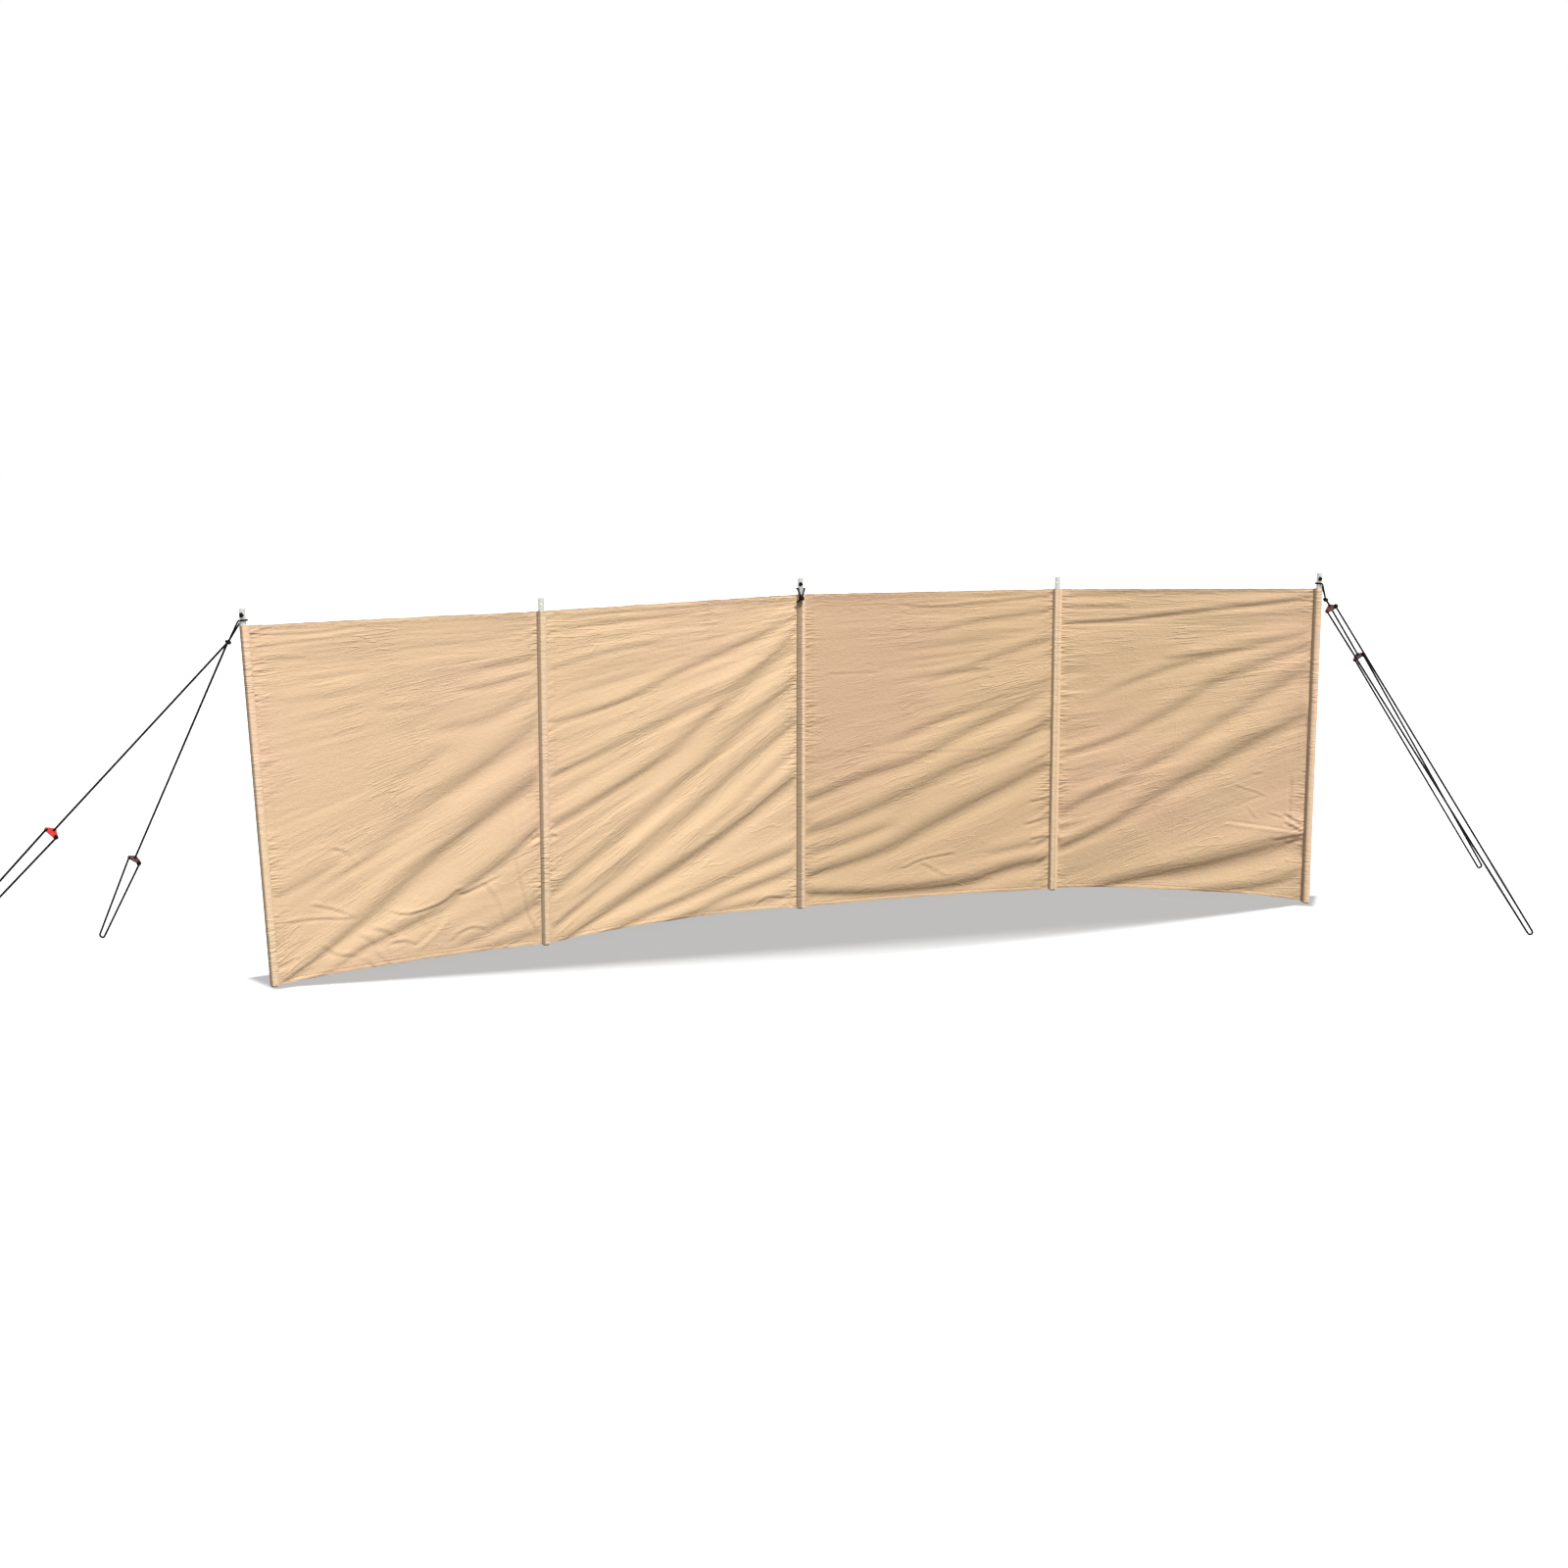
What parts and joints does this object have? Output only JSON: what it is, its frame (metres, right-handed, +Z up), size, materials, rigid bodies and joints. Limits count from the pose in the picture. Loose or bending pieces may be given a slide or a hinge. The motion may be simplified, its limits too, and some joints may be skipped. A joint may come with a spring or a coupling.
{
  "type": "beach windbreak",
  "caption": "Cloth windbreak on tubular posts, standing in a shallow curve, with end guys tensioned by runners.",
  "frame": {"origin": "middle of the middle post's foot, on the ground", "axes": "+X along the screen to the right seen from its front, +Y towards its back, +Z up the middle post"},
  "size_m": [6.6325, 2.8955, 1.4762],
  "materials": {
    "cloth": "matt woven cotton",
    "post_steel": "satin light grey",
    "plug_plastic": "matt",
    "guy_cord": "braided",
    "runner_red": "moulded",
    "runner_brown": "moulded"
  },
  "bodies": {
    "root": {"collar_knot_left": "guy_cord", "collar_knot_middle": "guy_cord", "collar_knot_right": "guy_cord", "collar_left": "guy_cord", "collar_middle": "guy_cord", "collar_right": "guy_cord", "foot_hem_1": "cloth", "foot_hem_2": "cloth", "foot_hem_3": "cloth", "foot_hem_4": "cloth", "guy_left_back": "guy_cord", "guy_left_front": "guy_cord", "guy_right_back": "guy_cord", "guy_right_front": "guy_cord", "panel_1": "cloth", "panel_2": "cloth", "panel_3": "cloth", "panel_4": "cloth", "post_1": "post_steel", "post_2": "post_steel", "post_3": "post_steel", "post_4": "post_steel", "post_5": "post_steel", "post_plug_1": "plug_plastic", "post_plug_2": "plug_plastic", "post_plug_3": "plug_plastic", "post_plug_4": "plug_plastic", "post_plug_5": "plug_plastic", "runner_knot_left_back": "guy_cord", "runner_knot_left_front": "guy_cord", "runner_knot_right_back": "guy_cord", "runner_knot_right_front": "guy_cord", "runner_left_back": "runner_brown", "runner_left_front": "runner_red", "runner_right_back": "runner_brown", "runner_right_front": "runner_brown", "sleeve_1": "cloth", "sleeve_2": "cloth", "sleeve_3": "cloth", "sleeve_4": "cloth", "sleeve_5": "cloth", "top_hem_1": "cloth", "top_hem_2": "cloth", "top_hem_3": "cloth", "top_hem_4": "cloth"}
  },
  "joints": []
}
